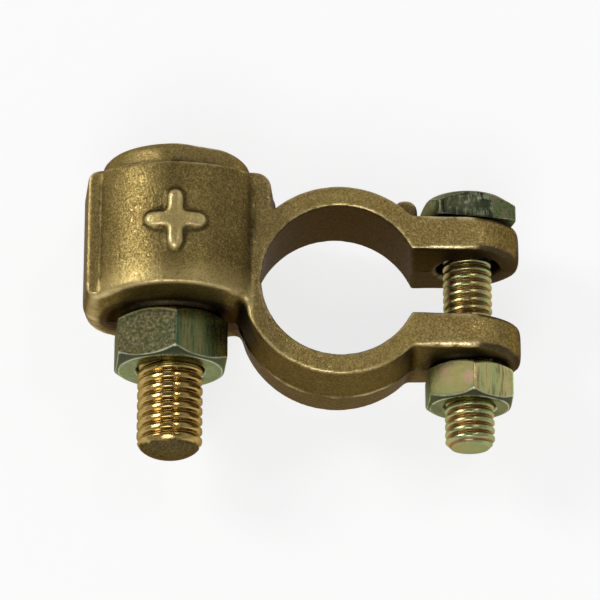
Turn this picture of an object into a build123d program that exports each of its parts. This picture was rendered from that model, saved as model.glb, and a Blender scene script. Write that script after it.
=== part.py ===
from build123d import *
import os
from math import acos, cos, degrees, radians, sqrt, tan

# A battery terminal clamp: a brass casting with a split post ring, two ears and a barrel with a stud,
# a nut on the stud, and a square-headed bolt with a nut that closes the ears on the post.
# Millimetres. Z runs up the battery post, and the mould parts at Z = 0. The bore axis is X = Y = 0,
# the ears and their bolt are on +X, the barrel is on -X, and the stud points along -Y.

# Post ring
ring_height = 14.2
post_bore_d = 18.6  # at the top face, the narrow end
post_taper = 1 / 9  # bore diameter gained for each millimetre of depth
ring_wall = 2.5  # beside the bore, at the top face
draft = 5.0  # degrees that the outside walls lean from the parting plane

# Ears and the slit between them
slit_width = 8.0  # at the top and bottom faces
slit_draft = 3.0  # degrees
ear_wall = 4.2  # at the top and bottom faces
bolt_offset = 6.3  # bore wall to bolt axis
ear_end = 6.3  # bolt axis to ear tip
ear_end_r = 7.5  # side view of the ear tip
pad_proud = 0.15  # faced seats stand this far off the parting line

# Barrel that carries the stud
barrel_offset = 8.2  # ring wall to stud axis
barrel_r = 10.6  # lower half, and the shoulder's reach beside the stud axis
crown_r = 11.35  # upper half
crown_shift = 0.45  # stud axis to the crown's axis, towards the ring
barrel_near = 3.1  # bore axis to the near end, at the parting plane
barrel_length = 17.2  # near end to far end, at the parting plane
web_reach = 12.4  # stud axis to the shoulder's edge beside the ring
shoulder_corner_r = 2.0  # plan corners, at the parting plane
web_corner_r = 2.5

# Far end cap of the barrel, with the flat left where the feeder was ground off
cap_length = 2.6
cap_base_r = 9.3
cap_end_r = 8.9
cap_chamfer = 0.7
cap_flat_distance = 8.0  # crown's axis to the flat
cap_flat_angle = 68.0  # degrees from +X towards +Z

# Raised polarity mark on the crown
mark_span = 7.2
mark_arm = 1.6
mark_inner_r = 0.7
mark_height = 0.6
mark_from_near = 8.8

# Stud, cast with the barrel and threaded, with a domed end
stud_d = 7.8
stud_thread = 14.75  # nut seat to the dome
stud_dome = 2.2

# Stop beside the bolt head
stop_length = 2.9
stop_reach = 11.5  # bore axis plane to the far side
stop_half_height = 3.6
stop_gap = 0.3

# Clamp bolt
bolt_d = 5.9
bolt_length = 27.6  # under the head
bolt_end_chamfer = 0.7
bolt_hole_d = 7.5
head_flats = 10.0
head_corner_r = 6.7
head_height = 3.4
head_turn = 12.0  # degrees, clockwise seen from the nut

# Hex nuts
stud_nut_flats = 13.0
stud_nut_height = 6.2
stud_nut_turn = 5.0  # degrees, clockwise seen from the free end
clamp_nut_flats = 10.0
clamp_nut_height = 4.7
clamp_nut_turn = 1.5
nut_countersink = 0.5
face_inset = 0.3  # flats to the rim of a chamfered end face
face_chamfer = 30.0  # degrees
thread_clearance = 0.05  # radial, between a nut's bore and what it runs on

# Cutters run past the faces they cut by this much
spare = 1.0


def lean(height, angle):
    """How far a wall drafted at this angle leans over this height."""
    return height * tan(radians(angle))


# Places that follow from the sizes
half_height = ring_height / 2
post_r = post_bore_d / 2
ring_lean = lean(half_height, draft)
ring_r = post_r + ring_wall + ring_lean
slit_half = slit_width / 2
ear_face = slit_half + ear_wall + ring_lean
bolt_seat = ear_face + pad_proud
bolt_x = post_r + bolt_offset
ear_tip = bolt_x + ear_end
stud_x = -(post_r + ring_wall + barrel_offset)
crown_x = stud_x + crown_shift
near_y = -barrel_near
far_y = near_y + barrel_length
stud_seat = near_y - pad_proud
shoulder_x = stud_x - barrel_r
web_x = stud_x + web_reach


def rectangle(x0, x1, y0, y1):
    return Pos((x0 + x1) / 2, (y0 + y1) / 2) * Rectangle(x1 - x0, y1 - y0)


def rounded_rectangle(x0, x1, y0, y1, radius):
    return Pos((x0 + x1) / 2, (y0 + y1) / 2) * RectangleRounded(x1 - x0, y1 - y0, radius)


def drafted(outline, height):
    """Extrudes a plan outline from the parting plane, up or down, with drafted walls."""
    lower = extrude(outline, amount=abs(height), dir=(0, 0, -1), taper=draft)
    return mirror(lower, about=Plane.XY) if height > 0 else lower


def is_upright(edge):
    """Whether an edge is steeper than 45 degrees halfway along."""
    way = edge % 0.5
    return abs(way.Z) > Vector(way.X, way.Y).length


def rounded(prism, *corners):
    """Rounds the upright edges of a prism that start at the plan corners (x, y, radius)."""
    for x, y, radius in corners:
        uprights = prism.edges().filter_by(is_upright)
        prism = fillet(uprights.sort_by_distance((x, y, 0))[0], radius)
    return prism


def round_bar(radius, x, y0, y1):
    """A cylinder along Y, level with the parting plane."""
    return Pos(x, (y0 + y1) / 2, 0) * Rot(90, 0, 0) * Cylinder(radius, y1 - y0)


def facing_viewer(x, y):
    """A plane with its normal along -Y, X to the right and Z up."""
    return Plane(origin=(x, y, 0), x_dir=(1, 0, 0), z_dir=(0, -1, 0))


def turned(points):
    """A solid of revolution about Z from (radius, height) points that start and end on the axis."""
    return revolve(Plane.XZ * make_face(Polyline(*points, close=True)), axis=Axis.Z)


def web_plan():
    """The web that joins the ring to the barrel, from the stud axis on."""
    return rounded_rectangle(stud_x, web_x, near_y, far_y, web_corner_r)


def shoulder_plan():
    """The web together with the shoulder on the other side of the stud axis."""
    middle = (stud_x + web_x) / 2
    return web_plan() + rounded_rectangle(shoulder_x, middle, near_y, far_y, shoulder_corner_r)


def mould_half(barrel_plan, height):
    """The ring, the ears and part of the barrel on one side of the parting plane, with no slit yet."""
    ears = rectangle(0, ear_tip + spare, -ear_face, ear_face)
    return drafted(Circle(ring_r) + ears + barrel_plan, height)


def ear_ends():
    """What is cut away to round the ears' tips in side view."""
    centre = ear_tip - ear_end_r
    across = 2 * (ear_face + spare)
    length = ear_end_r + 2 * spare
    block = Pos(centre + length / 2, 0, 0) * Box(length, across, ring_height + 2 * spare)
    return block - round_bar(ear_end_r, centre, -across / 2, across / 2)


def slit():
    """The drafted gap between the ears, narrowest at the parting plane."""
    top = half_height + spare
    middle = slit_half - lean(half_height, slit_draft)
    edge = middle + lean(top, slit_draft)
    section = Polygon(
        (-middle, 0), (-edge, -top), (edge, -top), (middle, 0), (edge, top), (-edge, top), align=None
    )
    return extrude(Plane.YZ * section, amount=ear_tip + spare)


def post_bore():
    """The tapered bore, wider below."""
    extra = spare * post_taper / 2
    bottom_r = post_r + ring_height * post_taper / 2
    return Cone(bottom_r + extra, post_r - extra, ring_height + 2 * spare)


def barrel():
    """The crown above the parting plane and the rounder half below it, with drafted ends."""
    plan = shoulder_plan()
    crown = drafted(plan, crown_r + spare)
    crown &= round_bar(crown_r, crown_x, near_y - spare, far_y + spare)
    underside = drafted(plan, -(barrel_r + spare))
    underside &= round_bar(barrel_r, stud_x, near_y - spare, far_y + spare)
    return crown + underside


def cap():
    """The tapered far end of the barrel, with its ground flat."""
    root = lean(crown_r, draft) + spare
    length = root + cap_length
    full = length - cap_chamfer
    rim_r = cap_end_r - cap_chamfer
    body = turned([(0, 0), (cap_base_r, 0), (cap_end_r, full), (rim_r, length), (0, length)])
    thickness = 2 * (cap_base_r - cap_flat_distance)
    flat = Box(thickness, 2 * cap_base_r, 2 * length)
    body -= Rot(0, 0, -cap_flat_angle) * Pos(cap_flat_distance + thickness / 2, 0, length) * flat
    return Pos(crown_x, far_y - root, 0) * Rot(-90, 0, 0) * body


def polarity_mark():
    """A raised plus on the crown."""
    arm = SlotOverall(mark_span, mark_arm)
    inner = mark_arm / 2
    prism = extrude(arm + Rot(0, 0, 90) * arm, amount=crown_r + mark_height + spare)
    corners = [(x, y, mark_inner_r) for x in (-inner, inner) for y in (-inner, inner)]
    prism = Pos(crown_x, near_y + mark_from_near, 0) * rounded(prism, *corners)
    return prism & round_bar(crown_r + mark_height, crown_x, near_y, far_y)


def stud():
    """The stud with its nut seat, drawn along Z from the seat plane."""
    radius = stud_d / 2
    inside = pad_proud + lean(crown_r, draft) + spare
    side = Polyline((0, stud_thread), (0, -inside), (radius, -inside), (radius, stud_thread))
    dome_r = (radius**2 + stud_dome**2) / (2 * stud_dome)
    end = RadiusArc((radius, stud_thread), (0, stud_thread + stud_dome), -dome_r)
    axis = Line((0, stud_thread + stud_dome), (0, stud_thread))
    shank = revolve(Plane.XZ * make_face([side, end, axis]), axis=Axis.Z)
    seat = Pos(0, 0, -inside / 2) * Cylinder(stud_nut_flats / 2 - face_inset, inside)
    return facing_viewer(stud_x, stud_seat) * (shank + seat)


def bolt_pads():
    """Faced seats for the bolt head and the clamp nut."""
    depth = ring_lean + pad_proud + spare
    pads = []
    for y0, y1, flats in (
        (bolt_seat - depth, bolt_seat, head_flats),
        (-bolt_seat, depth - bolt_seat, clamp_nut_flats),
    ):
        pads.append(round_bar(flats / 2 - face_inset, bolt_x, y0, y1))
    return pads


def head_stop():
    """The round-ended lug beside the bolt head that keeps it from turning."""
    corner_angle = degrees(acos(head_flats / 2 / head_corner_r))
    head_reach = head_corner_r * cos(radians(corner_angle - head_turn))
    x1 = bolt_x - head_reach - stop_gap
    end_r = stop_length / 2
    end_y = stop_reach - end_r
    root = rectangle(x1 - stop_length, x1, slit_half + ear_wall / 2, end_y)
    outline = root + Pos(x1 - end_r, end_y) * Circle(end_r)
    return extrude(outline, amount=stop_half_height, both=True)


def clamp_body():
    body = mould_half(shoulder_plan(), half_height)
    body += mould_half(web_plan(), -half_height)
    body -= ear_ends()
    body += [barrel(), cap(), polarity_mark(), stud(), head_stop(), *bolt_pads()]
    body -= slit()
    body -= post_bore()
    return body - round_bar(bolt_hole_d / 2, bolt_x, -(bolt_seat + spare), bolt_seat + spare)


def chamfered_disc(flats, rim_r, height, both_ends):
    """The turned envelope that takes the corners off a nut or a bolt head."""
    face_r = flats / 2 - face_inset
    drop = lean(rim_r - face_r, face_chamfer)
    first = [(0, 0), (face_r, 0), (rim_r, drop)] if both_ends else [(0, 0), (rim_r, 0)]
    return turned([*first, (rim_r, height - drop), (face_r, height), (0, height)])


def hex_nut(flats, height, runs_on_d, turn):
    """A hex nut along Z with one corner up, turned clockwise, with a countersunk bore."""
    bore_r = runs_on_d / 2 + thread_clearance
    corner_up = 30
    hexagon = Rot(0, 0, corner_up - turn) * RegularPolygon(flats / 2, 6, major_radius=False)
    nut = extrude(hexagon, amount=height) & chamfered_disc(flats, flats / sqrt(3), height, True)
    mouth_r = bore_r + nut_countersink
    bore = turned(
        [
            (0, 0),
            (mouth_r, 0),
            (bore_r, nut_countersink),
            (bore_r, height - nut_countersink),
            (mouth_r, height),
            (0, height),
        ]
    )
    return nut - bore


def stud_nut():
    nut = hex_nut(stud_nut_flats, stud_nut_height, stud_d, stud_nut_turn)
    return facing_viewer(stud_x, stud_seat) * nut


def clamp_nut():
    nut = hex_nut(clamp_nut_flats, clamp_nut_height, bolt_d, clamp_nut_turn)
    return facing_viewer(bolt_x, -bolt_seat) * nut


def clamp_bolt():
    """The bolt along Z from under its head, with the head below."""
    radius = bolt_d / 2
    tip_r = radius - bolt_end_chamfer
    full = bolt_length - bolt_end_chamfer
    shank = turned([(0, 0), (radius, 0), (radius, full), (tip_r, bolt_length), (0, bolt_length)])
    square = Rot(0, 0, -head_turn) * Rectangle(head_flats, head_flats)
    head = extrude(square, amount=-head_height)
    head &= Rot(180, 0, 0) * chamfered_disc(head_flats, head_corner_r, head_height, False)
    return facing_viewer(bolt_x, bolt_seat) * (shank + head)


os.makedirs("parts", exist_ok=True)
for make in (clamp_body, stud_nut, clamp_bolt, clamp_nut):
    export_step(make(), f"parts/{make.__name__}.step")
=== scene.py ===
from math import cos, pi, radians, sin, tan
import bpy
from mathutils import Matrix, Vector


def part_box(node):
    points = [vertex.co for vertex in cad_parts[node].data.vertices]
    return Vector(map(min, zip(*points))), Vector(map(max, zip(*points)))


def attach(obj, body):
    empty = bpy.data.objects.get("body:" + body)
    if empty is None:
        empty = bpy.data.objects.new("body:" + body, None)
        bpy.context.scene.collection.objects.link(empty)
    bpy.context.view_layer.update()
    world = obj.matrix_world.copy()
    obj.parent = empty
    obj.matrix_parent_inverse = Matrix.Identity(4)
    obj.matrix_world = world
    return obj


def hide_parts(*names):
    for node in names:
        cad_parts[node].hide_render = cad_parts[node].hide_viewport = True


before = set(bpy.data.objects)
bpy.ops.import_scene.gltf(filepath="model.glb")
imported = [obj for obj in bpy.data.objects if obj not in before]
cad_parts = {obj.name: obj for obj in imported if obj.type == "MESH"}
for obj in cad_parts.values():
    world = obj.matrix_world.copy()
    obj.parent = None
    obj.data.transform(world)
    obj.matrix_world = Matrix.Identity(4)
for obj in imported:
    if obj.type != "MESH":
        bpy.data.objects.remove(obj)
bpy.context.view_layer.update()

from types import SimpleNamespace

import bmesh
import bpy
import numpy as np
from mathutils import Matrix, Vector
from mathutils.bvhtree import BVHTree

MM = 0.001

# Places that come from the frame, in metres
BODY_LOW, BODY_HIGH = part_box("clamp_body")
STUD_NUT_LOW, STUD_NUT_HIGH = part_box("stud_nut")
BOLT_LOW, BOLT_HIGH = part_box("clamp_bolt")
CLAMP_NUT_LOW, CLAMP_NUT_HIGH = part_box("clamp_nut")
STUD_X = (STUD_NUT_LOW.x + STUD_NUT_HIGH.x) / 2
BOLT_X = (CLAMP_NUT_LOW.x + CLAMP_NUT_HIGH.x) / 2
STUD_SEAT_Y = STUD_NUT_HIGH.y
STUD_END_Y = BODY_LOW.y
BOLT_END_Y = BOLT_LOW.y
HEAD_SEAT_Y = -CLAMP_NUT_HIGH.y
HEAD_END_Y = BOLT_HIGH.y

# Standard sizes of the fasteners
STUD_R, STUD_PITCH, STUD_DOME = 3.9 * MM, 1.25 * MM, 2.2 * MM
BOLT_R, BOLT_PITCH, BOLT_CHAMFER = 2.95 * MM, 1.0 * MM, 0.7 * MM
STUD_NUT_FLATS, STUD_NUT_TURN = 13.0 * MM, radians(5.0)
CLAMP_NUT_FLATS, CLAMP_NUT_TURN = 10.0 * MM, radians(1.5)
HEAD_FLATS, HEAD_CORNER_R, HEAD_TURN = 10.0 * MM, 6.7 * MM, radians(12.0)
FACE_INSET, FACE_CHAMFER = 0.3 * MM, radians(37.0)
NUT_MOUTH, NUT_EDGE_R, HEAD_EDGE_R = 0.5 * MM, 0.28 * MM, 0.16 * MM
THREAD_DEPTH, GROOVE_REACH = 0.40, 0.34  # shares of the pitch
THREAD_GAP = 0.04 * MM
STUD_ROOT, BOLT_ROOT = 0.3 * MM, 0.2 * MM  # how far the threads reach in behind their seats
STUD_RUNOUT = 0.9 * MM  # length over which the stud's thread rises from nothing
THREAD_ROWS, STUD_ROWS, DOME_ROWS = 14, 16, 30  # rows to a turn of a thread, and on the stud's dome
POLE_R, DOME_GAP = 0.01 * MM, 0.004  # hole left at the middle of a lathed end, and of the dome in radians

# Rows of a nut's softened profile, from the mouth at its seat to the mouth at its end
NUT_SEAT_CHAMFER = slice(4, 7)
NUT_SIDES = slice(5, 11)
NUT_END_CHAMFER = slice(10, 12)

# Crown of the barrel with its plus mark, and the ring's top
CROWN_X = STUD_X + 0.45 * MM
CROWN_R = BODY_HIGH.z - 0.6 * MM
MARK_Y = STUD_SEAT_Y + 8.95 * MM
RING_TOP_Z = 7.1 * MM

# Casting skin, with the passes that soften it
SKIN_VOXEL, SKIN_INSET = 0.25 * MM, 0.01 * MM
SKIN_SMOOTHING, NEAR_EDGE_SMOOTHING, EAR_SMOOTHING, EAR_END_SMOOTHING = 4, 26, 8, 34
BEND_SMOOTHING, BROAD_SMOOTHING, SHELTER_SMOOTHING = 2, 24, 4
STUD_CUT_Y, STUD_CUT_X = STUD_SEAT_Y - 0.25 * MM, STUD_X + 5.0 * MM
SHELTER_RAYS, SHELTER_REACH, SHELTER_START, SHELTER_LEAN = 12, 9.0 * MM, 0.25 * MM, 0.35
FLASH_HEIGHT, FLASH_REACH = 0.20 * MM, 0.40 * MM

# Start and end of each fade from one place on the casting to the next, along X, Y or Z
BARREL_TO_RING_X = (STUD_X + 8.5 * MM, STUD_X + 10.5 * MM)
RING_TO_SLIT_X = (9.0 * MM, 10.5 * MM)
RING_TO_EARS_X = (BOLT_X - 6.0 * MM, BOLT_X - 4.0 * MM)
EARS_TO_ENDS_X = (BOLT_X - 0.6 * MM, BOLT_X + 2.0 * MM)
SLIT_TO_EARS_Y = (HEAD_SEAT_Y - 3.4 * MM, HEAD_SEAT_Y - 2.8 * MM)
BARREL_TO_CAP_Y = (BODY_HIGH.y - 2.6 * MM, BODY_HIGH.y - 2.2 * MM)
WALL_TO_CROWN_Z = (3.0 * MM, 5.0 * MM)
CROWN_TO_MARK_Z = (8.0 * MM, 9.0 * MM)

# The same by distance from the stud's axis, the crown's middle plane, the mark's middle or the bore's axis
NUT_TO_FACE_R = (7.4 * MM, 9.4 * MM)
FACE_TO_NEAR_EDGE_R = (8.2 * MM, 9.4 * MM)
CROWN_TO_SHOULDER = (9.0 * MM, 10.5 * MM)
SHOULDER_TO_RING = (12.5 * MM, 15.5 * MM)
MARK_TO_CROWN = (4.4 * MM, 5.28 * MM)
BORE_TO_RING_R = (10.6 * MM, 10.9 * MM)

# The same by distance from the stud's seat, the ring's top or the sides of the casting's box
SEAT_TO_BARREL = (0.4 * MM, 0.9 * MM)
NEAR_EDGE_TO_BARREL = (0.52 * MM, 1.3 * MM)
NEAR_FACE_TO_BARREL = (1.2 * MM, 2.0 * MM)
NEAR_BAND_TO_CROWN = (1.0 * MM, 5.0 * MM)
TOP_TO_WALL = (0.6 * MM, 2.0 * MM)
BOX_TO_INSIDE = (0.3 * MM, 0.8 * MM)

# The same by height above the crown's round surface
SUNKEN_TO_CROWN = (-0.8 * MM, -0.3 * MM)
CROWN_TO_RAISED = (0.12 * MM, 0.40 * MM)
CROWN_TO_LEVEL = (0.1 * MM, 0.5 * MM)

# How far a surface has to face up, sideways or towards the stud to count as such, as parts of its normal
LEVEL_FACING, UPRIGHT_FACING, NEAR_FACING = (0.55, 0.95), (0.25, 0.5), (0.5, 0.8)

# How sharply the skin has to bend to count as a bright edge, with wear and painted highlight, or as a fold
# with painted shade, in voxels
EDGE_BEND, NEAR_EDGE_BEND = (0.04, 0.14), (0.006, 0.028)
FOLD_BEND, MARK_FOLD_BEND = (0.012, 0.065), (0.008, 0.035)
EAR_SHARPER, MARK_SHARPER = 1.5, 0.3  # how much more a bend counts there

# How far each place is painted brighter, for wear and as painted highlight, or darker, as painted shade and
# as dirt on the shoulder tops, and what the near face is spared of painted shade where its view is closed off
# and on its upright walls
NEAR_EDGE_HIGHLIGHT, NEAR_BAND_HIGHLIGHT, CAP_HIGHLIGHT = 0.8, 0.75, 0.18
NUT_SHADE, WITHIN_SHADE, SHOULDER_DIRT = 0.9, 0.59, 0.32
SHADE_SPARED, SIDE_SHADE_SPARED = 0.7, 0.6

# Camera that took the photo: it looks down at the part from the stud's side
CAMERA_TARGET = Vector((-4.55, -0.15, 0.0)) * MM
CAMERA_AZIMUTH, CAMERA_ELEVATION, CAMERA_ROLL = radians(-4.95), radians(69.98), radians(5.24)
CAMERA_DISTANCE, CAMERA_CLIP = 398.8 * MM, 10.0 * MM
SENSOR_WIDTH, FOCAL_LENGTH = 36.0, 199.3

# Studio: the lamps' azimuth, elevation and spread in degrees, and their light
LAMPS = {"left": (155, 39, 20, 0.25), "right": (42, 59, 10, 0.07), "front": (-100, 50, 30, 0.30)}
LAMP_DISTANCE = 2.0
FLOOR_HALF = 2.0
FLOOR_GLOW = 0.78  # share of plain white in the floor that the camera and the metal see
WALL_LIGHT, CEILING_LIGHT = 0.46, 0.12
WALL_TOP, CEILING_EDGE = 0.45, 0.97  # sines of the elevations between which the light falls off

# Tones of the cast skin, and how much brighter they are painted on the level tops, as painted light
SAND_TONES = {
    "brown": (0.158, 0.111, 0.036), "olive": (0.200, 0.146, 0.047), "gold": (0.38, 0.283, 0.097),
    "dust": (0.085, 0.057, 0.020), "pit": (0.075, 0.050, 0.017), "spark": (0.50, 0.39, 0.17),
    "rub_and_highlight": (0.67, 0.515, 0.205),
}
LEVEL_LIGHT_GAIN = 1.8

# Tones of the plating: its drift on the dull faces, its end faces, and the bands on its bright faces
STUD_NUT_TONES = {
    "yellow": (0.095, 0.086, 0.036), "green": (0.070, 0.080, 0.036), "pink": (0.100, 0.078, 0.050),
    "end": (0.22, 0.26, 0.14), "low_band": (0.085, 0.165, 0.078), "high_band": (0.26, 0.25, 0.10),
}
CLAMP_NUT_TONES = {
    "yellow": (0.28, 0.25, 0.100), "green": (0.20, 0.26, 0.105), "pink": (0.40, 0.255, 0.175),
    "end": (0.095, 0.115, 0.066), "low_band": (0.60, 0.66, 0.27), "high_band": (0.82, 0.66, 0.28),
}
HEAD_TONES = {
    "yellow": (0.22, 0.20, 0.085), "green": (0.16, 0.20, 0.090), "pink": (0.27, 0.20, 0.125),
    "end": (0.26, 0.28, 0.17), "low_band": (0.024, 0.032, 0.016), "high_band": (0.052, 0.055, 0.030),
}

# Tints of reflections that graze the metal
BRASS_GRAZING = (0.50, 0.42, 0.36)
ZINC_GRAZING = (0.70, 0.70, 0.50)


def link(obj):
    bpy.context.scene.collection.objects.link(obj)
    return obj


def mesh_object(name, verts, faces):
    """A smooth mesh object from vertex and face lists in the row frame."""
    mesh = bpy.data.meshes.new(name)
    mesh.from_pydata([tuple(v) for v in verts], [], faces)
    mesh.polygons.foreach_set("use_smooth", [True] * len(mesh.polygons))
    mesh.update()
    return link(bpy.data.objects.new(name, mesh))


def coordinates(mesh, field="co"):
    values = np.empty(len(mesh.vertices) * 3, np.float32)
    mesh.vertices.foreach_get(field, values)
    return values.reshape(-1, 3).astype(float)


def add_fields(mesh, fields):
    """Keeps one number for each vertex under each name, for the materials."""
    for name, values in fields.items():
        layer = mesh.attributes.new(name, "FLOAT", "POINT")
        layer.data.foreach_set("value", np.ascontiguousarray(values, np.float32).ravel())


def smooth_step(values, low, high):
    share = np.clip((values - low) / (high - low), 0.0, 1.0)
    return share * share * (3 - 2 * share)


# Threads, nuts and the bolt, all round axes along Y at Z = 0

def around(columns):
    """Angles of the columns of a lathed piece."""
    return np.arange(columns) * 2 * pi / columns


def round_points(centre_x, angle, radius, y):
    """Points at an angle from +X towards +Z."""
    angle, radius, y = np.broadcast_arrays(angle, radius, y)
    return np.stack([centre_x + radius * np.cos(angle), y, radius * np.sin(angle)], -1)


def thread_radius(crest_r, pitch, angle, y):
    """The surface of a right-hand thread with broad, slightly rounded crests and narrow grooves."""
    turn = (-y / pitch - angle / (2 * pi)) % 1.0
    from_groove = np.minimum(turn, 1.0 - turn)
    groove = 1.0 - smooth_step(from_groove, 0.0, GROOVE_REACH)
    rounding = (1.0 - 2 * from_groove) ** 2
    return crest_r - THREAD_DEPTH * pitch * (0.85 * groove + 0.15 * rounding)


def polygon_radius(angle, flats, sides, turn):
    """The outline of a regular polygon with slightly rounded corners, one of them up before the turn."""
    sharpness = 90
    total = 0.0
    for k in range(sides):
        facing = np.cos(angle - (pi / 2 - turn + (k + 0.5) * 2 * pi / sides))
        total = total + np.maximum(facing, 0.0) ** sharpness
    return flats / 2 / total ** (1 / sharpness)


def softened(corners, radius):
    """A closed profile of (radius, height) corners, each replaced by three points of a small curve, less the
    first and the last point."""
    profile = np.array([np.stack(corner, -1) for corner in corners])
    before = np.roll(profile, 1, 0) - profile
    after = np.roll(profile, -1, 0) - profile
    rows = []
    for corner, back, ahead in zip(profile, before, after):
        ends = []
        for way in (back, ahead):
            length = np.maximum(np.linalg.norm(way, axis=-1, keepdims=True), 1e-9)
            ends.append(corner + way / length * np.minimum(radius, length * 0.4))
        rows += [ends[0], (ends[0] + 2 * corner + ends[1]) / 4, ends[1]]
    return np.array(rows)[1:-1]


def edge_rows(count):
    """How much each row of a softened profile lies on an edge."""
    return np.tile([0.0, 1.0, 0.0], count // 3 + 1)[1:count + 1]


def lathe_faces(rows, columns, closed):
    """Quads of a grid whose columns close, and whose rows close too if asked."""
    faces = []
    for i in range(rows if closed else rows - 1):
        for j in range(columns):
            a, b = i, (i + 1) % rows
            k = (j + 1) % columns
            faces.append((a * columns + j, a * columns + k, b * columns + k, b * columns + j))
    return faces


def nut_bore(angle, seat_y, height, crest_r, pitch):
    """The radius and depth of a nut's threaded bore, from its end to its seat."""
    steps = int((height - 2 * NUT_MOUTH) / pitch * THREAD_ROWS)
    depth = np.linspace(height - NUT_MOUTH, NUT_MOUTH, steps)[:, None]
    fade = smooth_step(np.minimum(depth, height - depth), NUT_MOUTH * 0.8, NUT_MOUTH * 2.2)
    thread = thread_radius(crest_r, pitch, angle, seat_y - depth)
    return crest_r + THREAD_GAP + (thread - crest_r) * fade, depth


def hex_nut(name, centre_x, seat_y, end_y, flats, turn, crest_r, pitch):
    """A chamfered hex nut whose threaded bore matches the thread that it runs on."""
    columns = 360
    angle = around(columns)
    height = seat_y - end_y
    outline = polygon_radius(angle, flats, 6, turn)
    face_r = np.full(columns, flats / 2 - FACE_INSET)
    mouth_r = np.full(columns, crest_r + THREAD_GAP + NUT_MOUTH * 0.4)
    drop = (outline - face_r) * tan(FACE_CHAMFER)
    flat = np.zeros(columns)
    seat_half = [(mouth_r, flat), (face_r, flat), (outline, drop)]
    end_half = [(outline, height - drop), (face_r, flat + height), (mouth_r, flat + height)]
    outside = softened(seat_half + end_half, NUT_EDGE_R)
    bore, depth = nut_bore(angle, seat_y, height, crest_r, pitch)
    radius = np.concatenate([outside[..., 0], bore])
    y = seat_y - np.concatenate([outside[..., 1], np.broadcast_to(depth, bore.shape)])
    points = round_points(centre_x, angle, radius, y)
    nut = mesh_object(name, points.reshape(-1, 3), lathe_faces(len(radius), columns, True))

    corner = (outline - flats / 2) / (outline.max() - flats / 2)
    edge, bevel, seat = np.zeros(y.shape), np.zeros(y.shape), np.zeros(y.shape)
    edge[:len(outside)] = edge_rows(len(outside))[:, None]
    edge[NUT_SIDES] += 0.6 * smooth_step(corner, 0.90, 1.0)
    bevel[NUT_END_CHAMFER] = 1.0
    seat[NUT_SEAT_CHAMFER] = 1.0
    face = np.floor((angle - pi / 2 + turn) / (pi / 3)) + 0.5
    from_end = np.minimum(seat_y - y, y - end_y)
    rim = np.broadcast_to(drop, y.shape)
    add_fields(nut.data, {
        "end": 1.0 - smooth_step(from_end, rim * 0.6, rim * 1.05),
        "edge": np.clip(edge, 0.0, 1.0),
        "bevel": bevel,
        "seat": seat,
        "side": np.broadcast_to(np.cos(pi / 2 - turn + face * pi / 3), y.shape),
    })
    return nut


def square_head():
    """Points, faces and fields of the bolt's head."""
    columns = 240
    angle = around(columns)
    height = HEAD_END_Y - HEAD_SEAT_Y
    square = polygon_radius(angle, HEAD_FLATS, 4, pi / 4 + HEAD_TURN)
    bluntness = 40
    outline = (square ** -bluntness + HEAD_CORNER_R ** -bluntness) ** (-1 / bluntness)
    face_r = np.full(columns, HEAD_FLATS / 2 - FACE_INSET)
    drop = (outline - face_r) * tan(FACE_CHAMFER)
    flat = np.zeros(columns)
    pole = np.full(columns, POLE_R)
    seat_half = [(pole, flat), (outline, flat), (outline, height - drop)]
    end_half = [(face_r, flat + height), (pole, flat + height)]
    rows = softened(seat_half + end_half, HEAD_EDGE_R)
    points = round_points(BOLT_X, angle, rows[..., 0], HEAD_SEAT_Y + rows[..., 1]).reshape(-1, 3)

    end, edge = np.zeros(len(rows)), edge_rows(len(rows))
    end_rim = len(rows) - 4
    end[end_rim:] = 1.0
    edge[end_rim] = 0.5
    edge[[0, -1]] = 0.0
    upper = np.where(np.sin(angle - HEAD_TURN) > cos(pi / 4), 1.0, -1.0)
    fields = {
        "depth": np.zeros(len(points)),
        "end": np.repeat(end, columns),
        "side": np.tile(upper, len(rows)),
        "edge": np.repeat(edge, columns),
    }
    return points, lathe_faces(len(rows), columns, False), fields


def bolt_shank():
    """Points, faces and fields of the bolt's thread and its flat end."""
    columns = 80
    angle = around(columns)
    steps = int((HEAD_SEAT_Y - BOLT_END_Y) / BOLT_PITCH * THREAD_ROWS)
    y = np.linspace(HEAD_SEAT_Y + BOLT_ROOT, BOLT_END_Y, steps)[:, None]
    thread = thread_radius(BOLT_R, BOLT_PITCH, angle, y)
    rim = BOLT_R - BOLT_CHAMFER
    chamfer = rim + np.maximum(y - BOLT_END_Y, 0.0)
    end_rows = np.array([rim - 0.06 * MM, rim - 0.5 * MM, POLE_R])[:, None]
    end_shape = (len(end_rows), columns)
    radius = np.concatenate([np.minimum(thread, chamfer), np.broadcast_to(end_rows, end_shape)])
    y = np.concatenate([np.broadcast_to(y, (steps, columns)), np.full(end_shape, BOLT_END_Y)])
    points = round_points(BOLT_X, angle, radius, y).reshape(-1, 3)

    depth, end = np.zeros(radius.shape), np.zeros(radius.shape)
    depth[:steps] = (BOLT_R - thread) / (THREAD_DEPTH * BOLT_PITCH)
    end[steps:] = 1.0
    plain = np.zeros(radius.size)
    fields = {"depth": depth.ravel(), "end": end.ravel(), "side": plain, "edge": plain}
    return points, lathe_faces(len(radius), columns, False), fields


def square_bolt():
    """The square head and the threaded shank as one piece, and the number of faces that the head has."""
    head, head_faces, head_fields = square_head()
    shank, shank_faces, shank_fields = bolt_shank()
    moved = [tuple(i + len(head) for i in face) for face in shank_faces]
    bolt = mesh_object("square_bolt", np.concatenate([head, shank]), head_faces + moved)
    fields = {name: np.concatenate([head_fields[name], shank_fields[name]]) for name in head_fields}
    add_fields(bolt.data, fields)
    return bolt, len(head_faces)


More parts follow.
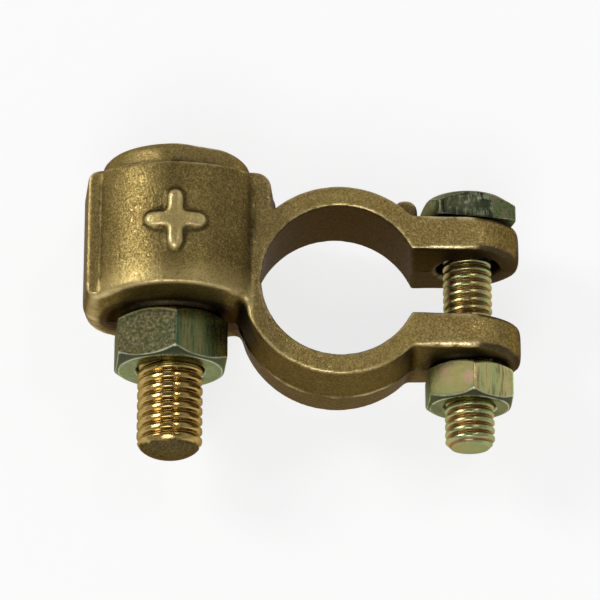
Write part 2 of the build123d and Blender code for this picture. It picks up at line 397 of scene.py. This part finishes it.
def stud_thread():
    """The stud's cut thread and its domed, as-cast end."""
    columns = 96
    angle = around(columns)
    dome_y = STUD_END_Y + STUD_DOME
    steps = int((STUD_SEAT_Y - dome_y) / STUD_PITCH * STUD_ROWS)
    shank_y = np.linspace(STUD_SEAT_Y + STUD_ROOT, dome_y, steps)
    tilt = np.linspace(0.0, pi / 2 - DOME_GAP, DOME_ROWS)[1:]
    y = np.concatenate([shank_y, dome_y - STUD_DOME * np.sin(tilt)])[:, None]
    plain = np.concatenate([np.full(steps, STUD_R), STUD_R * np.cos(tilt)])[:, None]
    fade = smooth_step(STUD_SEAT_Y - y, 0.0, STUD_RUNOUT)
    thread = STUD_R + (thread_radius(STUD_R, STUD_PITCH, angle, y) - STUD_R) * fade
    radius = np.minimum(thread, plain)
    points = round_points(STUD_X, angle, radius, y)
    stud = mesh_object("stud_thread", points.reshape(-1, 3), lathe_faces(len(radius), columns, False))
    add_fields(stud.data, {"depth": (STUD_R - thread) / (THREAD_DEPTH * STUD_PITCH)})
    return stud


# The casting's skin

class Skin:
    """A mesh as arrays: its points, its normals and which points are neighbours."""

    def __init__(self, mesh):
        self.mesh = mesh
        self.points = coordinates(mesh)
        ends = np.empty(len(mesh.edges) * 2, np.int32)
        mesh.edges.foreach_get("vertices", ends)
        self.edges = ends.reshape(-1, 2)
        self.degree = np.maximum(np.bincount(ends, minlength=len(self.points)), 1).astype(float)
        self.normals = None

    def neighbour_mean(self, values):
        """The mean of each point's neighbours, for values in columns."""
        total = np.zeros_like(values)
        for a, b in ((0, 1), (1, 0)):
            for axis in range(values.shape[1]):
                near = values[self.edges[:, b], axis]
                total[:, axis] += np.bincount(self.edges[:, a], near, minlength=len(values))
        return total / self.degree[:, None]

    def blurred(self, values, passes, share=1.0):
        """Values in columns, moved a share of the way to their neighbours' mean in each pass."""
        for _ in range(passes):
            values = (1.0 - share) * values + share * self.neighbour_mean(values)
        return values

    def soften(self, passes, share=1.0):
        """Moves the points halfway to their neighbours, times a share that may differ between them."""
        step = np.reshape(0.5 * share, (-1, 1))
        for _ in range(passes):
            self.points += step * (self.neighbour_mean(self.points) - self.points)

    def store(self):
        """Puts the points back into the mesh, and takes its new normals."""
        self.mesh.vertices.foreach_set("co", self.points.astype(np.float32).ravel())
        self.mesh.update()
        self.normals = coordinates(self.mesh, "normal")


def cut_stud(mesh):
    """Takes the plain stud off the skin, just in front of its seat."""
    form = bmesh.new()
    form.from_mesh(mesh)
    gone = [v for v in form.verts if v.co.y < STUD_CUT_Y and v.co.x < STUD_CUT_X]
    bmesh.ops.delete(form, geom=gone, context="VERTS")
    rim = [e for e in form.edges if e.is_boundary]
    bmesh.ops.holes_fill(form, edges=rim, sides=0)
    form.to_mesh(mesh)
    form.free()


def casting_mesh():
    """The casting's solid as an even mesh, without its stud."""
    source = link(bpy.data.objects.new("casting_source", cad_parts["clamp_body"].data.copy()))
    remesh = source.modifiers.new("remesh", "REMESH")
    remesh.mode = "VOXEL"
    remesh.voxel_size = SKIN_VOXEL
    graph = bpy.context.evaluated_depsgraph_get()
    mesh = bpy.data.meshes.new_from_object(source.evaluated_get(graph))
    bpy.data.objects.remove(source)
    mesh.name = "casting_skin"
    cut_stud(mesh)
    return mesh


def sheltered(points, normals):
    """The share of the view from each point that the part's own solids close off nearby."""
    verts, faces = [], []
    for name in ("clamp_body", "stud_nut", "clamp_nut", "clamp_bolt"):
        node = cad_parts[name]
        start = len(verts)
        verts += [node.matrix_world @ v.co for v in node.data.vertices]
        faces += [[start + i for i in p.vertices] for p in node.data.polygons]
    tree = BVHTree.FromPolygons(verts, faces)
    height = 1.0 - (np.arange(SHELTER_RAYS) + 0.5) / SHELTER_RAYS
    turn = np.arange(SHELTER_RAYS) * pi * (3 - 5 ** 0.5)
    level = np.sqrt(1 - height ** 2)
    dome = np.stack([np.cos(turn) * level, np.sin(turn) * level, height], -1)
    starts = points + normals * SHELTER_START
    hits = np.zeros(len(points))
    for way in dome:
        outward = np.where(np.sum(normals * way, axis=1) < 0, -1.0, 1.0)[:, None]
        aimed = normals * SHELTER_LEAN + way * outward
        for i, (start, heading) in enumerate(zip(starts.tolist(), aimed.tolist())):
            if tree.ray_cast(start, heading, SHELTER_REACH)[0] is not None:
                hits[i] += 1.0
    return hits / SHELTER_RAYS


def rounded_places(points):
    """How far each point belongs to the places that are rounded more, or lies by the stud nut."""
    x, y, z = points.T
    from_stud = np.hypot(x - STUD_X, z)
    near_edge = (
        (1.0 - smooth_step(np.abs(y - STUD_SEAT_Y), *NEAR_EDGE_TO_BARREL))
        * smooth_step(from_stud, *FACE_TO_NEAR_EDGE_R)
        * (1.0 - smooth_step(x, *BARREL_TO_RING_X))
    )
    return SimpleNamespace(
        near_edge=near_edge,
        ears=smooth_step(x, *RING_TO_EARS_X),
        ear_ends=smooth_step(x, *EARS_TO_ENDS_X),
        by_nut=1.0 - smooth_step(from_stud, *NUT_TO_FACE_R),
    )


def wear_and_light_places(skin):
    """How far each point belongs to the places that wear, gather dirt, or get painted light or shade in their
    own way, from 0 to 1.
    """
    x, y, z = skin.points.T
    facing_y, facing_z = skin.normals[:, 1], skin.normals[:, 2]
    from_seat = np.abs(y - STUD_SEAT_Y)
    from_crown = np.abs(x - CROWN_X)
    above_crown = np.hypot(x - CROWN_X, z) - CROWN_R
    by_mark = 1.0 - smooth_step(np.hypot(x - CROWN_X, y - MARK_Y), *MARK_TO_CROWN)
    upright = 1.0 - smooth_step(np.abs(facing_z), *UPRIGHT_FACING)
    outside_bore = smooth_step(np.hypot(x, y), *BORE_TO_RING_R)
    outside_slit = np.maximum(
        smooth_step(np.abs(y), *SLIT_TO_EARS_Y), 1.0 - smooth_step(x, *RING_TO_SLIT_X)
    )
    # Level tops, which the material paints brighter as painted light
    level = (
        smooth_step(facing_z, *LEVEL_FACING)
        * (1.0 - smooth_step(np.abs(z - RING_TOP_Z), *TOP_TO_WALL))
        * smooth_step(above_crown, *CROWN_TO_LEVEL) * (1.0 - by_mark)
    )
    near_band = (
        (1.0 - smooth_step(y - STUD_SEAT_Y, *NEAR_BAND_TO_CROWN))
        * smooth_step(above_crown, *SUNKEN_TO_CROWN)
        * smooth_step(z, *WALL_TO_CROWN_Z)
        * (1.0 - smooth_step(from_crown, *CROWN_TO_SHOULDER)) * (1.0 - level)
    )
    near_face = (
        smooth_step(-facing_y, *NEAR_FACING)
        * (1.0 - smooth_step(from_seat, *NEAR_FACE_TO_BARREL))
        * (1.0 - smooth_step(x, *BARREL_TO_RING_X))
    )
    return SimpleNamespace(
        upright=upright,
        level=level,
        near_band=near_band,
        near_face=near_face,
        seat=1.0 - smooth_step(from_seat, *SEAT_TO_BARREL),
        mark=by_mark * smooth_step(above_crown, *CROWN_TO_RAISED),
        mark_foot=by_mark * smooth_step(z, *CROWN_TO_MARK_Z),
        cap=smooth_step(y, *BARREL_TO_CAP_Y),
        shoulder=level * (1.0 - smooth_step(from_crown, *SHOULDER_TO_RING)),
        # Walls within the bore and the slit, which the material darkens as painted shade
        within=upright * (1.0 - np.minimum(outside_bore, outside_slit)),
        parting=outside_bore * upright * (1.0 - smooth_step(np.abs(z), 0.0, FLASH_REACH)),
    )


def wear_fields(skin, rounded, wear_and_light):
    """How far each point of the casting is brightened by wear and painted highlights, folded, darkened by
    painted shade and dirt, or level and so painted lighter, for its material.
    """
    bend = skin.neighbour_mean(skin.points) - skin.points
    bend = -np.sum(bend * skin.normals, axis=1)[:, None] / SKIN_VOXEL
    bend = skin.blurred(bend, BEND_SMOOTHING, 0.5)
    broad = skin.blurred(bend, BROAD_SMOOTHING)[:, 0]
    bend = bend[:, 0]
    behind_nut = wear_and_light.seat * rounded.by_nut
    sharper = 1.0 + EAR_SHARPER * rounded.ears * (1.0 - rounded.ear_ends) + MARK_SHARPER * wear_and_light.mark
    worn_bend = smooth_step(bend * sharper, *EDGE_BEND)
    near_bend = rounded.near_edge * smooth_step(bend, *NEAR_EDGE_BEND)
    fold = smooth_step(-(broad * 2 + bend), *FOLD_BEND)
    mark_fold = wear_and_light.mark_foot * smooth_step(-bend, *MARK_FOLD_BEND)
    # Painted shade: the share of the view that the solids close off darkens the colour, as ambient occlusion
    shade_and_dirt = skin.blurred(sheltered(skin.points, skin.normals)[:, None], SHELTER_SMOOTHING)[:, 0]
    shade_and_dirt = shade_and_dirt * (1.0 - SHADE_SPARED * wear_and_light.near_face)
    # Places painted brighter: wear on the raised plus mark, and painted highlights on the crown's near edge,
    # its near band and the cap
    rub_and_highlight = [wear_and_light.mark, near_bend, NEAR_BAND_HIGHLIGHT * wear_and_light.near_band, CAP_HIGHLIGHT * wear_and_light.cap]
    # Darkening in the colour: painted shade from the closed-off view, beside the stud nut and on the walls
    # within the bore and the slit, and dirt on the shoulder tops
    shade_and_dirt_parts = [shade_and_dirt, NUT_SHADE * behind_nut, WITHIN_SHADE * wear_and_light.within, SHOULDER_DIRT * wear_and_light.shoulder]
    return {
        # Bright edges: wear on sharp bends, and a painted highlight along the crown's near edge
        "edge": np.maximum(worn_bend, NEAR_EDGE_HIGHLIGHT * near_bend) * (1.0 - behind_nut),
        "rub_and_highlight": np.maximum.reduce(rub_and_highlight),
        # Folds and the mark's foot, which the material darkens as painted shade
        "recess": np.maximum(fold, mark_fold),
        "level": wear_and_light.level,
        "shade_and_dirt": np.maximum.reduce(shade_and_dirt_parts),
        # Walls that face sideways, which the material darkens as painted shade
        "upright": wear_and_light.upright * (1.0 - SIDE_SHADE_SPARED * wear_and_light.near_face),
    }


def raise_flash(skin, parting):
    """Raises a ragged flash on the parting line, inside the casting's box. Returns how clearly the material
    paints it bright, as a painted highlight.
    """
    low, high = np.array(BODY_LOW), np.array(BODY_HIGH)
    inside = smooth_step(np.minimum(skin.points - low, high - skin.points).min(axis=1), *BOX_TO_INSIDE)
    x, y = skin.points[:, 0] / MM, skin.points[:, 1] / MM
    ragged = 0.7 + 0.3 * np.sin(2.1 * x + 1.3 * y) * np.sin(0.9 * x - 2.7 * y)
    skin.points += skin.normals * (FLASH_HEIGHT * ragged * parting * inside)[:, None]
    skin.points = np.clip(skin.points, low + SKIN_INSET, high - SKIN_INSET)
    return parting * (0.25 + 0.75 * inside)


def casting_skin():
    """The casting with soft cast edges and a parting flash, and how far each place wears, sinks, or gets
    painted light or shade.
    """
    skin = Skin(casting_mesh())
    skin.soften(SKIN_SMOOTHING)
    rounded = rounded_places(skin.points)
    skin.soften(NEAR_EDGE_SMOOTHING, rounded.near_edge)
    skin.soften(EAR_SMOOTHING, rounded.ears)
    skin.soften(EAR_END_SMOOTHING, rounded.ear_ends)
    skin.store()
    wear_and_light = wear_and_light_places(skin)
    fields = wear_fields(skin, rounded, wear_and_light)
    fields["flash"] = raise_flash(skin, wear_and_light.parting)
    skin.store()
    add_fields(skin.mesh, fields)
    skin.mesh.polygons.foreach_set("use_smooth", [True] * len(skin.mesh.polygons))
    skin.mesh.update()
    return link(bpy.data.objects.new("casting_skin", skin.mesh))


# Materials

class Nodes:
    """Short ways to add and join shader nodes in one material."""

    def __init__(self, name):
        self.material = bpy.data.materials.new(name)
        self.material.use_nodes = True
        self.tree = self.material.node_tree
        self.shader = self.tree.nodes["Principled BSDF"]
        place = self.tree.nodes.new("ShaderNodeTexCoord")
        scale = self.tree.nodes.new("ShaderNodeVectorMath")
        scale.operation = "SCALE"
        scale.inputs["Scale"].default_value = 1 / MM
        self.tree.links.new(place.outputs["Object"], scale.inputs[0])
        self.place = scale.outputs[0]

    def put(self, value, socket):
        """Joins an output to a socket, or sets a constant on it."""
        if isinstance(value, bpy.types.NodeSocket):
            self.tree.links.new(value, socket)
        else:
            socket.default_value = value

    def vector(self, operation, x, y, z):
        """The place in the object, in millimetres, with a vector added to it or multiplied into it."""
        node = self.tree.nodes.new("ShaderNodeVectorMath")
        node.operation = operation
        self.put(self.place, node.inputs[0])
        node.inputs[1].default_value = (x, y, z)
        return node.outputs[0]

    def noise(self, scale, detail=3.0, stretch=None, distortion=0.0):
        """Noise with this many features to the millimetre, or more or fewer along each axis."""
        node = self.tree.nodes.new("ShaderNodeTexNoise")
        place = self.vector("MULTIPLY", *stretch) if stretch else self.place
        self.put(place, node.inputs["Vector"])
        node.inputs["Scale"].default_value = scale
        node.inputs["Detail"].default_value = detail
        node.inputs["Distortion"].default_value = distortion
        return node.outputs["Fac"]

    def cells(self, scale):
        """Cells with a random brightness each, this many to the millimetre."""
        node = self.tree.nodes.new("ShaderNodeTexVoronoi")
        self.put(self.place, node.inputs["Vector"])
        node.inputs["Scale"].default_value = scale
        return node.outputs["Color"]

    def attribute(self, name):
        node = self.tree.nodes.new("ShaderNodeAttribute")
        node.attribute_name = name
        return node.outputs["Fac"]

    def math(self, operation, a, b=0.0):
        node = self.tree.nodes.new("ShaderNodeMath")
        node.operation = operation
        self.put(a, node.inputs[0])
        self.put(b, node.inputs[1])
        return node.outputs[0]

    def product(self, *factors):
        """All the factors multiplied."""
        total = factors[0]
        for factor in factors[1:]:
            total = self.math("MULTIPLY", total, factor)
        return total

    def span(self, value, low, high, to_low=0.0, to_high=1.0):
        node = self.tree.nodes.new("ShaderNodeMapRange")
        node.interpolation_type = "SMOOTHSTEP"
        self.put(value, node.inputs["Value"])
        for name, number in (("From Min", low), ("From Max", high), ("To Min", to_low), ("To Max", to_high)):
            node.inputs[name].default_value = number
        return node.outputs["Result"]

    def mix(self, share, a, b):
        """Mixes two colours."""
        node = self.tree.nodes.new("ShaderNodeMix")
        node.data_type = "RGBA"
        self.put(share, node.inputs["Factor"])
        for value, socket in ((a, node.inputs["A"]), (b, node.inputs["B"])):
            self.put(value if isinstance(value, bpy.types.NodeSocket) else (*value, 1.0), socket)
        return node.outputs["Result"]

    def bump(self, height, distance, strength=1.0, after=None):
        node = self.tree.nodes.new("ShaderNodeBump")
        node.inputs["Strength"].default_value = strength
        node.inputs["Distance"].default_value = distance
        self.put(height, node.inputs["Height"])
        if after:
            self.put(after, node.inputs["Normal"])
        return node.outputs[0]

    def finish(self, colour, roughness, normal, grazing=(1.0, 1.0, 1.0)):
        """Joins up a metal. Grazing tints the reflections along the surface."""
        self.shader.inputs["Metallic"].default_value = 1.0
        self.shader.inputs["Specular Tint"].default_value = (*grazing, 1.0)
        self.put(colour, self.shader.inputs["Base Color"])
        self.put(roughness, self.shader.inputs["Roughness"])
        self.put(normal, self.shader.inputs["Normal"])
        return self.material


def sand_skin(n, grain, sand, patches, glint, gain):
    """The brown skin of a sand casting with its gold grain, with all its tones brightened by a gain."""
    tones = {name: [min(gain * c, 1.0) for c in tone] for name, tone in SAND_TONES.items()}
    skin = n.mix(n.span(patches, 0.35, 0.65), tones["brown"], tones["olive"])
    # Brighter where wear thins the skin and where a highlight is painted
    skin = n.mix(n.product(n.attribute("rub_and_highlight"), 0.85), skin, tones["rub_and_highlight"])
    skin = n.mix(n.span(grain, 0.46, 0.72, 0.0, 0.60), skin, tones["gold"])
    skin = n.mix(n.span(grain, 0.28, 0.52, 0.40, 0.0), skin, tones["dust"])
    skin = n.mix(n.span(sand, 0.50, 0.85, 0.0, 0.38), skin, tones["gold"])
    skin = n.mix(n.span(sand, 0.15, 0.50, 0.32, 0.0), skin, tones["pit"])
    return n.mix(n.product(glint, 0.5), skin, tones["spark"])


def cast_brass():
    """Sand-cast brass: a brown skin with a gold grain, bright on its edges from wear and painted highlight,
    painted lighter on its level tops, and with painted shade in its corners and folds and on walls that face
    sideways.
    """
    n = Nodes("cast_brass")
    grain = n.noise(4.2, 4.0)
    sand = n.cells(6.0)
    lumps = n.noise(0.9, 3.0)
    patches = n.noise(0.22, 3.0)
    glint = n.span(n.product(n.cells(6.5), n.noise(1.3, 2.0)), 0.42, 0.55)
    shade_and_dirt = n.attribute("shade_and_dirt")
    plain = sand_skin(n, grain, sand, patches, glint, 1.0)
    # Painted light: the level tops get a brighter copy of the skin
    level = sand_skin(n, grain, sand, patches, glint, LEVEL_LIGHT_GAIN)
    colour = n.mix(n.attribute("level"), plain, level)

    edge = n.product(n.attribute("edge"), n.span(lumps, 0.28, 0.58), n.span(shade_and_dirt, 0.15, 0.45, 1.0, 0.15))
    stretches = n.product(n.span(n.noise(0.2, 2.0), 0.34, 0.56), n.span(lumps, 0.30, 0.60, 0.3, 1.0))
    # Painted highlight along the parting flash
    flash = n.product(n.attribute("flash"), stretches, n.span(shade_and_dirt, 0.1, 0.3, 1.0, 0.0), 0.8)
    bright = n.math("MAXIMUM", edge, flash)
    fold = n.product(n.attribute("recess"), n.span(lumps, 0.25, 0.6, 1.0, 0.6))
    # Painted shade: walls that face sideways are darker
    colour = n.mix(n.product(n.attribute("upright"), 0.50), colour, (0.085, 0.062, 0.030))
    # Painted shade where the view is closed off, beside the stud nut and within the bore and the slit, with
    # dirt on the shoulder tops
    colour = n.mix(n.span(shade_and_dirt, 0.12, 0.60, 0.0, 0.85), colour, (0.046, 0.037, 0.026))
    colour = n.mix(n.span(shade_and_dirt, 0.72, 0.95, 0.0, 0.85), colour, (0.012, 0.008, 0.004))
    # Painted shade in folds and round the foot of the mark
    colour = n.mix(fold, colour, (0.040, 0.028, 0.012))
    # Edges painted bright for wear and as painted highlight, and the flash painted bright as painted
    # highlight
    colour = n.mix(n.product(bright, 0.92), colour, (0.84, 0.68, 0.36))

    rough = n.span(grain, 0.3, 0.7, 0.50, 0.37)
    rough = n.math("SUBTRACT", rough, n.product(bright, 0.14))
    rough = n.math("SUBTRACT", rough, n.product(glint, 0.12))
    normal = n.bump(lumps, 0.10 * MM, 0.6)
    normal = n.bump(grain, 0.07 * MM, 0.8, after=normal)
    return n.finish(colour, rough, normal, BRASS_GRAZING)


def cut_brass():
    """Bright, freshly cut brass with a dull dome, and painted shade in the grooves of its thread."""
    n = Nodes("cut_brass")
    along = n.tree.nodes.new("ShaderNodeSeparateXYZ")
    n.put(n.place, along.inputs[0])
    dome_start = (STUD_END_Y + STUD_DOME) / MM
    wavy = n.math("ADD", along.outputs["Y"], n.noise(1.0, 2.0))
    dull = n.span(wavy, dome_start - 0.55, dome_start - 0.25, 1.0, 0.0)
    grain = n.noise(4.0, 4.0)
    streaks = n.noise(2.0, 3.0, (0.6, 5.0, 0.6))
    metal = n.mix(n.span(streaks, 0.35, 0.68), (0.40, 0.278, 0.092), (0.54, 0.395, 0.142))
    # Painted shade in the thread's grooves
    metal = n.mix(n.span(n.attribute("depth"), 0.45, 1.0, 0.0, 0.7), metal, (0.20, 0.120, 0.034))
    cast = n.mix(n.span(grain, 0.35, 0.65), (0.08, 0.058, 0.022), (0.15, 0.112, 0.044))
    colour = n.mix(dull, metal, cast)
    rough = n.math("ADD", n.span(streaks, 0.3, 0.7, 0.15, 0.22), n.product(dull, 0.32))
    normal = n.bump(grain, 0.03 * MM, 0.5)
    return n.finish(colour, rough, normal, BRASS_GRAZING)


def yellow_zinc(name, tones, seed, mottling, dullness, shine):
    """Zinc plating with a yellow passivation. Faces whose side is below zero are dull and drift between
    olive, green and pink, and the others are banded."""
    n = Nodes(name)
    n.place = n.vector("ADD", seed, seed * 1.7, seed * 0.6)
    drift = n.noise(0.16, 2.0, distortion=0.6)
    clouds = n.noise(0.7, 4.0)
    mottle = n.noise(2.8, 5.0)
    streaks = n.noise(1.6, 3.0, (2.2, 0.25, 2.2))
    bands = n.noise(0.5, 2.0, (1.0, 0.05, 1.0))
    glare = n.product(n.noise(2.4, 3.0, (1.6, 0.3, 1.6)), n.noise(0.5, 2.0, (0.4, 1.6, 1.0)))
    on_left = n.span(n.attribute("side"), -0.1, 0.1, 1.0, 0.0)
    dull_face = n.product(on_left, n.span(n.attribute("end"), 0.0, 1.0, 1.0, 0.0))

    dull = n.mix(n.span(drift, 0.40, 0.58), tones["yellow"], tones["green"])
    dull = n.mix(n.span(clouds, 0.52, 0.68, 0.0, 0.8), dull, tones["pink"])
    dull = n.mix(n.span(mottle, 0.50, 0.66, 0.0, 0.8 * mottling), dull, (0.27, 0.25, 0.13))
    dull = n.mix(n.span(mottle, 0.36, 0.50, mottling, 0.0), dull, (0.030, 0.026, 0.013))
    banded = n.mix(n.span(bands, 0.36, 0.62), tones["low_band"], tones["high_band"])
    banded = n.mix(n.span(streaks, 0.52, 0.68, 0.0, 0.55), banded, (0.05, 0.048, 0.024))
    banded = n.mix(n.span(glare, 0.22, 0.38, 0.0, shine), banded, tones["end"])
    colour = n.mix(dull_face, banded, dull)
    end = n.mix(n.span(clouds, 0.35, 0.6, 0.0, 0.35), tones["end"], tones["yellow"])
    colour = n.mix(n.attribute("end"), colour, end)
    # Painted shade: the end chamfer is darker, as a painted dark reflection
    colour = n.mix(n.product(n.attribute("bevel"), 0.8), colour, (0.035, 0.040, 0.022))
    # Painted highlight: the seat chamfer of the dull faces is bright yellow-green
    colour = n.mix(n.product(n.attribute("seat"), on_left), colour, (0.52, 0.53, 0.19))
    # Painted highlight along the edges and corners, with some wear
    wear_and_light = n.product(n.span(n.attribute("edge"), 0.45, 0.95), n.span(clouds, 0.35, 0.55, 0.25, 1.0), 0.7)
    colour = n.mix(wear_and_light, colour, (0.66, 0.66, 0.52))

    rough = n.span(mottle, 0.3, 0.7, 0.22 + dullness, 0.34 + dullness)
    rough = n.math("ADD", rough, n.product(dull_face, 0.30))
    normal = n.bump(streaks, 0.03 * MM, 0.4)
    normal = n.bump(mottle, 0.02 * MM, 0.5, after=normal)
    return n.finish(colour, rough, normal, ZINC_GRAZING)


def yellow_thread():
    """Plated thread: yellow-green crests over red-brown roots."""
    n = Nodes("zinc_thread")
    drift = n.noise(0.35, 3.0)
    mottle = n.noise(2.6, 4.0)
    crest = n.mix(n.span(drift, 0.38, 0.62), (0.45, 0.38, 0.15), (0.32, 0.37, 0.17))
    crest = n.mix(n.span(mottle, 0.50, 0.70, 0.0, 0.5), crest, (0.62, 0.57, 0.34))
    colour = n.mix(n.span(n.attribute("depth"), 0.25, 0.85, 0.0, 0.9), crest, (0.27, 0.125, 0.055))
    end = n.mix(n.span(drift, 0.4, 0.6), (0.34, 0.31, 0.13), (0.27, 0.30, 0.14))
    colour = n.mix(n.attribute("end"), colour, end)
    rough = n.span(mottle, 0.3, 0.7, 0.26, 0.40)
    return n.finish(colour, rough, n.bump(mottle, 0.02 * MM, 0.5), ZINC_GRAZING)


def white_floor():
    """Plain matt white paper, which the camera and the metal see nearly as plain white."""
    n = Nodes("floor_paper")
    fibre = n.noise(0.6, 3.0)
    colour = n.mix(n.span(fibre, 0.3, 0.7), (0.93, 0.93, 0.93), (0.95, 0.95, 0.95))
    material = n.finish(colour, 0.9, n.bump(fibre, 0.01 * MM, 0.3))
    n.shader.inputs["Metallic"].default_value = 0.0
    n.shader.inputs["Specular IOR Level"].default_value = 0.0
    seen = n.tree.nodes.new("ShaderNodeLightPath")
    glow = n.tree.nodes.new("ShaderNodeEmission")
    blend = n.tree.nodes.new("ShaderNodeMixShader")
    directly = n.math("MAXIMUM", seen.outputs["Is Camera Ray"], seen.outputs["Is Glossy Ray"])
    directly = n.math("MAXIMUM", directly, seen.outputs["Is Transmission Ray"])
    n.put(n.product(directly, FLOOR_GLOW), blend.inputs["Fac"])
    n.put(n.shader.outputs["BSDF"], blend.inputs[1])
    n.put(glow.outputs["Emission"], blend.inputs[2])
    n.put(blend.outputs["Shader"], n.tree.nodes["Material Output"].inputs["Surface"])
    return material


def wear(obj, material, body, slot, *replaced):
    """Gives a piece its material and its body, and hides the CAD parts that it replaces."""
    obj.data.materials.clear()
    obj.data.materials.append(material)
    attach(obj, body)
    if replaced:
        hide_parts(*replaced)


# Stage

def aim(obj, place, target):
    obj.location = place
    obj.rotation_euler = (target - place).to_track_quat("-Z", "Y").to_euler()


def soft_box(name, azimuth, elevation, spread, light):
    """A round lamp at an angle round the part, with its azimuth counted from +X towards +Y. Spread is the
    angle that it fills, and light is the share of a white floor's brightness that it gives."""
    data = bpy.data.lights.new(name, "AREA")
    data.shape = "DISK"
    data.size = 2 * LAMP_DISTANCE * tan(spread / 2)
    data.energy = light * pi * pi * LAMP_DISTANCE ** 2 / sin(elevation)
    lamp = link(bpy.data.objects.new(name, data))
    way = Vector((cos(azimuth) * cos(elevation), sin(azimuth) * cos(elevation), sin(elevation)))
    aim(lamp, CAMERA_TARGET + way * LAMP_DISTANCE, CAMERA_TARGET)


def photo_camera():
    """The fitted camera, rolled about its own line of sight."""
    back = Vector((
        sin(CAMERA_AZIMUTH) * cos(CAMERA_ELEVATION),
        -cos(CAMERA_AZIMUTH) * cos(CAMERA_ELEVATION),
        sin(CAMERA_ELEVATION),
    ))
    right = Vector((cos(CAMERA_AZIMUTH), sin(CAMERA_AZIMUTH), 0.0))
    up = back.cross(right)
    level = cos(CAMERA_ROLL) * right + sin(CAMERA_ROLL) * up
    upright = cos(CAMERA_ROLL) * up - sin(CAMERA_ROLL) * right
    data = bpy.data.cameras.new("photo_camera")
    data.sensor_width = SENSOR_WIDTH
    data.lens = FOCAL_LENGTH
    data.clip_start = CAMERA_CLIP
    camera = link(bpy.data.objects.new("photo_camera", data))
    turn = Matrix((level, upright, back)).transposed().to_4x4()
    camera.matrix_world = Matrix.Translation(CAMERA_TARGET + back * CAMERA_DISTANCE) @ turn
    bpy.context.scene.camera = camera


def studio_world():
    """White walls all round, under a dimmer ceiling."""
    world = bpy.data.worlds.new("studio")
    bpy.context.scene.world = world
    world.use_nodes = True
    tree = world.node_tree
    way = tree.nodes.new("ShaderNodeTexCoord")
    height = tree.nodes.new("ShaderNodeSeparateXYZ")
    fall = tree.nodes.new("ShaderNodeMapRange")
    fall.interpolation_type = "SMOOTHSTEP"
    fall.inputs["From Min"].default_value = WALL_TOP
    fall.inputs["From Max"].default_value = CEILING_EDGE
    fall.inputs["To Min"].default_value = WALL_LIGHT
    fall.inputs["To Max"].default_value = CEILING_LIGHT
    tree.links.new(way.outputs["Generated"], height.inputs[0])
    tree.links.new(height.outputs["Z"], fall.inputs["Value"])
    tree.links.new(fall.outputs["Result"], tree.nodes["Background"].inputs["Strength"])
    tree.nodes["Background"].inputs["Color"].default_value = (1.0, 1.0, 1.0, 1.0)


def stage():
    """The floor under the part, the walls and the lamps."""
    z = BODY_LOW.z
    square = ((-1, -1), (1, -1), (1, 1), (-1, 1))
    floor = mesh_object("floor", [(x * FLOOR_HALF, y * FLOOR_HALF, z) for x, y in square], [(0, 1, 2, 3)])
    floor.data.materials.append(white_floor())
    studio_world()
    for name, (azimuth, elevation, spread, light) in LAMPS.items():
        soft_box(name, radians(azimuth), radians(elevation), radians(spread), light)


wear(casting_skin(), cast_brass(), "casting", "cast_brass", "clamp_body")
wear(stud_thread(), cut_brass(), "casting", "cast_brass")
stud_nut = hex_nut(
    "stud_nut_plated", STUD_X, STUD_NUT_HIGH.y, STUD_NUT_LOW.y,
    STUD_NUT_FLATS, STUD_NUT_TURN, STUD_R, STUD_PITCH,
)
clamp_nut = hex_nut(
    "clamp_nut_plated", BOLT_X, CLAMP_NUT_HIGH.y, CLAMP_NUT_LOW.y,
    CLAMP_NUT_FLATS, CLAMP_NUT_TURN, BOLT_R, BOLT_PITCH,
)
bolt, head_face_count = square_bolt()
stud_nut_zinc = yellow_zinc(
    "zinc_stud_nut", STUD_NUT_TONES, seed=3.0, mottling=0.8, dullness=0.0, shine=0.25,
)
clamp_nut_zinc = yellow_zinc(
    "zinc_clamp_nut", CLAMP_NUT_TONES, seed=11.0, mottling=0.25, dullness=0.0, shine=0.15,
)
head_zinc = yellow_zinc(
    "zinc_head", HEAD_TONES, seed=23.0, mottling=0.5, dullness=0.06, shine=0.8,
)
wear(stud_nut, stud_nut_zinc, "stud_nut", "plated_steel", "stud_nut")
wear(clamp_nut, clamp_nut_zinc, "clamp_nut", "plated_steel", "clamp_nut")
wear(bolt, head_zinc, "clamp_bolt", "plated_steel", "clamp_bolt")
bolt.data.materials.append(yellow_thread())
for face in bolt.data.polygons[head_face_count:]:
    face.material_index = 1

photo_camera()
stage()
bpy.context.scene.view_settings.view_transform = "Standard"
